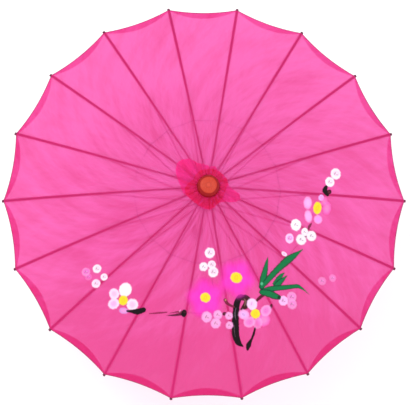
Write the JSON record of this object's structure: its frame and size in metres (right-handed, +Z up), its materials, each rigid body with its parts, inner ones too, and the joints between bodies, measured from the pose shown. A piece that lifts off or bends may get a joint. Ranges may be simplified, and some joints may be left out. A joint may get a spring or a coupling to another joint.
{
  "type": "parasol",
  "caption": "Folding parasol with a painted cloth canopy on hinged bamboo ribs and struts, a sliding runner, a spring catch and a turned handle.",
  "frame": {"origin": "on the shaft's axis, at the lower end of the handle's round grip", "axes": "+Z up along the shaft to the head, +X along a rib and towards the catch, open canopy"},
  "size_m": [0.82, 0.808, 0.5724],
  "materials": {
    "canopy_cloth": "thin see-through silk, hand painted",
    "collar_cloth": "doubled silk, ragged edge",
    "rib_bamboo": "split bamboo, dyed",
    "strut_bamboo": "split bamboo",
    "lacquered_head": "turned wood under red lacquer",
    "runner_wood": "turned wood",
    "shaft_wood": "oiled round bamboo",
    "handle_wood": "varnished turned wood",
    "catch_steel": "spring steel"
  },
  "bodies": {
    "stick": {"shaft": "shaft_wood", "handle": "handle_wood", "head": "lacquered_head", "head_cloth": "collar_cloth"},
    "rib_01": {"rib_01": "rib_bamboo", "gore_01": "canopy_cloth"},
    "rib_02": {"rib_02": "rib_bamboo", "gore_02": "canopy_cloth"},
    "rib_03": {"rib_03": "rib_bamboo", "gore_03": "canopy_cloth"},
    "rib_04": {"rib_04": "rib_bamboo", "gore_04": "canopy_cloth"},
    "rib_05": {"rib_05": "rib_bamboo", "gore_05": "canopy_cloth"},
    "rib_06": {"rib_06": "rib_bamboo", "gore_06": "canopy_cloth"},
    "rib_07": {"rib_07": "rib_bamboo", "gore_07": "canopy_cloth"},
    "rib_08": {"rib_08": "rib_bamboo", "gore_08": "canopy_cloth"},
    "rib_09": {"rib_09": "rib_bamboo", "gore_09": "canopy_cloth"},
    "rib_10": {"rib_10": "rib_bamboo", "gore_10": "canopy_cloth"},
    "rib_11": {"rib_11": "rib_bamboo", "gore_11": "canopy_cloth"},
    "rib_12": {"rib_12": "rib_bamboo", "gore_12": "canopy_cloth"},
    "rib_13": {"rib_13": "rib_bamboo", "gore_13": "canopy_cloth"},
    "rib_14": {"rib_14": "rib_bamboo", "gore_14": "canopy_cloth"},
    "rib_15": {"rib_15": "rib_bamboo", "gore_15": "canopy_cloth"},
    "rib_16": {"rib_16": "rib_bamboo", "gore_16": "canopy_cloth"},
    "rib_17": {"rib_17": "rib_bamboo", "gore_17": "canopy_cloth"},
    "rib_18": {"rib_18": "rib_bamboo", "gore_18": "canopy_cloth"},
    "strut_01": {"strut_01": "strut_bamboo"},
    "strut_02": {"strut_02": "strut_bamboo"},
    "strut_03": {"strut_03": "strut_bamboo"},
    "strut_04": {"strut_04": "strut_bamboo"},
    "strut_05": {"strut_05": "strut_bamboo"},
    "strut_06": {"strut_06": "strut_bamboo"},
    "strut_07": {"strut_07": "strut_bamboo"},
    "strut_08": {"strut_08": "strut_bamboo"},
    "strut_09": {"strut_09": "strut_bamboo"},
    "strut_10": {"strut_10": "strut_bamboo"},
    "strut_11": {"strut_11": "strut_bamboo"},
    "strut_12": {"strut_12": "strut_bamboo"},
    "strut_13": {"strut_13": "strut_bamboo"},
    "strut_14": {"strut_14": "strut_bamboo"},
    "strut_15": {"strut_15": "strut_bamboo"},
    "strut_16": {"strut_16": "strut_bamboo"},
    "strut_17": {"strut_17": "strut_bamboo"},
    "strut_18": {"strut_18": "strut_bamboo"},
    "runner": {"runner": "runner_wood"},
    "catch": {"catch": "catch_steel"}
  },
  "joints": [
    {"name": "fold_01", "type": "hinge", "parent": "stick", "child": "rib_01", "pos_m": [0.018, 0, 0.5416], "axis": [0, 1, 0], "range_deg": [0, 68], "deforming": ["gore_01"]},
    {"name": "fold_02", "type": "hinge", "parent": "stick", "child": "rib_02", "pos_m": [0.01691, 0.00616, 0.5416], "axis": [-0.342, 0.9397, 0], "range_deg": [0, 68], "deforming": ["gore_02"]},
    {"name": "fold_03", "type": "hinge", "parent": "stick", "child": "rib_03", "pos_m": [0.01379, 0.01157, 0.5416], "axis": [-0.6428, 0.766, 0], "range_deg": [0, 68], "deforming": ["gore_03"]},
    {"name": "fold_04", "type": "hinge", "parent": "stick", "child": "rib_04", "pos_m": [0.009, 0.01559, 0.5416], "axis": [-0.866, 0.5, 0], "range_deg": [0, 68], "deforming": ["gore_04"]},
    {"name": "fold_05", "type": "hinge", "parent": "stick", "child": "rib_05", "pos_m": [0.00313, 0.01773, 0.5416], "axis": [-0.9848, 0.1736, 0], "range_deg": [0, 68], "deforming": ["gore_05"]},
    {"name": "fold_06", "type": "hinge", "parent": "stick", "child": "rib_06", "pos_m": [-0.00313, 0.01773, 0.5416], "axis": [-0.9848, -0.1736, 0], "range_deg": [0, 68], "deforming": ["gore_06"]},
    {"name": "fold_07", "type": "hinge", "parent": "stick", "child": "rib_07", "pos_m": [-0.009, 0.01559, 0.5416], "axis": [-0.866, -0.5, 0], "range_deg": [0, 68], "deforming": ["gore_07"]},
    {"name": "fold_08", "type": "hinge", "parent": "stick", "child": "rib_08", "pos_m": [-0.01379, 0.01157, 0.5416], "axis": [-0.6428, -0.766, 0], "range_deg": [0, 68], "deforming": ["gore_08"]},
    {"name": "fold_09", "type": "hinge", "parent": "stick", "child": "rib_09", "pos_m": [-0.01691, 0.00616, 0.5416], "axis": [-0.342, -0.9397, 0], "range_deg": [0, 68], "deforming": ["gore_09"]},
    {"name": "fold_10", "type": "hinge", "parent": "stick", "child": "rib_10", "pos_m": [-0.018, 0, 0.5416], "axis": [0, -1, 0], "range_deg": [0, 68], "deforming": ["gore_10"]},
    {"name": "fold_11", "type": "hinge", "parent": "stick", "child": "rib_11", "pos_m": [-0.01691, -0.00616, 0.5416], "axis": [0.342, -0.9397, 0], "range_deg": [0, 68], "deforming": ["gore_11"]},
    {"name": "fold_12", "type": "hinge", "parent": "stick", "child": "rib_12", "pos_m": [-0.01379, -0.01157, 0.5416], "axis": [0.6428, -0.766, 0], "range_deg": [0, 68], "deforming": ["gore_12"]},
    {"name": "fold_13", "type": "hinge", "parent": "stick", "child": "rib_13", "pos_m": [-0.009, -0.01559, 0.5416], "axis": [0.866, -0.5, 0], "range_deg": [0, 68], "deforming": ["gore_13"]},
    {"name": "fold_14", "type": "hinge", "parent": "stick", "child": "rib_14", "pos_m": [-0.00313, -0.01773, 0.5416], "axis": [0.9848, -0.1736, 0], "range_deg": [0, 68], "deforming": ["gore_14"]},
    {"name": "fold_15", "type": "hinge", "parent": "stick", "child": "rib_15", "pos_m": [0.00313, -0.01773, 0.5416], "axis": [0.9848, 0.1736, 0], "range_deg": [0, 68], "deforming": ["gore_15"]},
    {"name": "fold_16", "type": "hinge", "parent": "stick", "child": "rib_16", "pos_m": [0.009, -0.01559, 0.5416], "axis": [0.866, 0.5, 0], "range_deg": [0, 68], "deforming": ["gore_16"]},
    {"name": "fold_17", "type": "hinge", "parent": "stick", "child": "rib_17", "pos_m": [0.01379, -0.01157, 0.5416], "axis": [0.6428, 0.766, 0], "range_deg": [0, 68], "deforming": ["gore_17"]},
    {"name": "fold_18", "type": "hinge", "parent": "stick", "child": "rib_18", "pos_m": [0.01691, -0.00616, 0.5416], "axis": [0.342, 0.9397, 0], "range_deg": [0, 68], "deforming": ["gore_18"]},
    {"name": "strut_turn_01", "type": "hinge", "parent": "rib_01", "child": "strut_01", "pos_m": [0.21878, 0, 0.47049], "axis": [0, 1, 0], "range_deg": [-136, 0]},
    {"name": "strut_turn_02", "type": "hinge", "parent": "rib_02", "child": "strut_02", "pos_m": [0.20559, 0.07483, 0.47049], "axis": [-0.342, 0.9397, 0], "range_deg": [-136, 0]},
    {"name": "strut_turn_03", "type": "hinge", "parent": "rib_03", "child": "strut_03", "pos_m": [0.1676, 0.14063, 0.47049], "axis": [-0.6428, 0.766, 0], "range_deg": [-136, 0]},
    {"name": "strut_turn_04", "type": "hinge", "parent": "rib_04", "child": "strut_04", "pos_m": [0.10939, 0.18947, 0.47049], "axis": [-0.866, 0.5, 0], "range_deg": [-136, 0]},
    {"name": "strut_turn_05", "type": "hinge", "parent": "rib_05", "child": "strut_05", "pos_m": [0.03799, 0.21546, 0.47049], "axis": [-0.9848, 0.1736, 0], "range_deg": [-136, 0]},
    {"name": "strut_turn_06", "type": "hinge", "parent": "rib_06", "child": "strut_06", "pos_m": [-0.03799, 0.21546, 0.47049], "axis": [-0.9848, -0.1736, 0], "range_deg": [-136, 0]},
    {"name": "strut_turn_07", "type": "hinge", "parent": "rib_07", "child": "strut_07", "pos_m": [-0.10939, 0.18947, 0.47049], "axis": [-0.866, -0.5, 0], "range_deg": [-136, 0]},
    {"name": "strut_turn_08", "type": "hinge", "parent": "rib_08", "child": "strut_08", "pos_m": [-0.1676, 0.14063, 0.47049], "axis": [-0.6428, -0.766, 0], "range_deg": [-136, 0]},
    {"name": "strut_turn_09", "type": "hinge", "parent": "rib_09", "child": "strut_09", "pos_m": [-0.20559, 0.07483, 0.47049], "axis": [-0.342, -0.9397, 0], "range_deg": [-136, 0]},
    {"name": "strut_turn_10", "type": "hinge", "parent": "rib_10", "child": "strut_10", "pos_m": [-0.21878, 0, 0.47049], "axis": [0, -1, 0], "range_deg": [-136, 0]},
    {"name": "strut_turn_11", "type": "hinge", "parent": "rib_11", "child": "strut_11", "pos_m": [-0.20559, -0.07483, 0.47049], "axis": [0.342, -0.9397, 0], "range_deg": [-136, 0]},
    {"name": "strut_turn_12", "type": "hinge", "parent": "rib_12", "child": "strut_12", "pos_m": [-0.1676, -0.14063, 0.47049], "axis": [0.6428, -0.766, 0], "range_deg": [-136, 0]},
    {"name": "strut_turn_13", "type": "hinge", "parent": "rib_13", "child": "strut_13", "pos_m": [-0.10939, -0.18947, 0.47049], "axis": [0.866, -0.5, 0], "range_deg": [-136, 0]},
    {"name": "strut_turn_14", "type": "hinge", "parent": "rib_14", "child": "strut_14", "pos_m": [-0.03799, -0.21546, 0.47049], "axis": [0.9848, -0.1736, 0], "range_deg": [-136, 0]},
    {"name": "strut_turn_15", "type": "hinge", "parent": "rib_15", "child": "strut_15", "pos_m": [0.03799, -0.21546, 0.47049], "axis": [0.9848, 0.1736, 0], "range_deg": [-136, 0]},
    {"name": "strut_turn_16", "type": "hinge", "parent": "rib_16", "child": "strut_16", "pos_m": [0.10939, -0.18947, 0.47049], "axis": [0.866, 0.5, 0], "range_deg": [-136, 0]},
    {"name": "strut_turn_17", "type": "hinge", "parent": "rib_17", "child": "strut_17", "pos_m": [0.1676, -0.14063, 0.47049], "axis": [0.6428, 0.766, 0], "range_deg": [-136, 0]},
    {"name": "strut_turn_18", "type": "hinge", "parent": "rib_18", "child": "strut_18", "pos_m": [0.20559, -0.07483, 0.47049], "axis": [0.342, 0.9397, 0], "range_deg": [-136, 0]},
    {"name": "runner_turn", "type": "hinge", "parent": "strut_01", "child": "runner", "pos_m": [0.018, 0, 0.39939], "axis": [0, 1, 0], "range_deg": [0, 68]},
    {"name": "catch_press", "type": "hinge", "parent": "stick", "child": "catch", "pos_m": [0, 0, 0.35169], "axis": [0, -1, 0], "range_deg": [0, 9.5], "stiffness_Nm_per_rad": 0.08}
  ],
  "couplings": [
    {"joint": "fold_02", "follows": "fold_01", "ratio": 1},
    {"joint": "fold_03", "follows": "fold_01", "ratio": 1},
    {"joint": "fold_04", "follows": "fold_01", "ratio": 1},
    {"joint": "fold_05", "follows": "fold_01", "ratio": 1},
    {"joint": "fold_06", "follows": "fold_01", "ratio": 1},
    {"joint": "fold_07", "follows": "fold_01", "ratio": 1},
    {"joint": "fold_08", "follows": "fold_01", "ratio": 1},
    {"joint": "fold_09", "follows": "fold_01", "ratio": 1},
    {"joint": "fold_10", "follows": "fold_01", "ratio": 1},
    {"joint": "fold_11", "follows": "fold_01", "ratio": 1},
    {"joint": "fold_12", "follows": "fold_01", "ratio": 1},
    {"joint": "fold_13", "follows": "fold_01", "ratio": 1},
    {"joint": "fold_14", "follows": "fold_01", "ratio": 1},
    {"joint": "fold_15", "follows": "fold_01", "ratio": 1},
    {"joint": "fold_16", "follows": "fold_01", "ratio": 1},
    {"joint": "fold_17", "follows": "fold_01", "ratio": 1},
    {"joint": "fold_18", "follows": "fold_01", "ratio": 1},
    {"joint": "strut_turn_01", "follows": "fold_01", "ratio": -2},
    {"joint": "strut_turn_02", "follows": "fold_01", "ratio": -2},
    {"joint": "strut_turn_03", "follows": "fold_01", "ratio": -2},
    {"joint": "strut_turn_04", "follows": "fold_01", "ratio": -2},
    {"joint": "strut_turn_05", "follows": "fold_01", "ratio": -2},
    {"joint": "strut_turn_06", "follows": "fold_01", "ratio": -2},
    {"joint": "strut_turn_07", "follows": "fold_01", "ratio": -2},
    {"joint": "strut_turn_08", "follows": "fold_01", "ratio": -2},
    {"joint": "strut_turn_09", "follows": "fold_01", "ratio": -2},
    {"joint": "strut_turn_10", "follows": "fold_01", "ratio": -2},
    {"joint": "strut_turn_11", "follows": "fold_01", "ratio": -2},
    {"joint": "strut_turn_12", "follows": "fold_01", "ratio": -2},
    {"joint": "strut_turn_13", "follows": "fold_01", "ratio": -2},
    {"joint": "strut_turn_14", "follows": "fold_01", "ratio": -2},
    {"joint": "strut_turn_15", "follows": "fold_01", "ratio": -2},
    {"joint": "strut_turn_16", "follows": "fold_01", "ratio": -2},
    {"joint": "strut_turn_17", "follows": "fold_01", "ratio": -2},
    {"joint": "strut_turn_18", "follows": "fold_01", "ratio": -2},
    {"joint": "runner_turn", "follows": "fold_01", "ratio": 1}
  ]
}
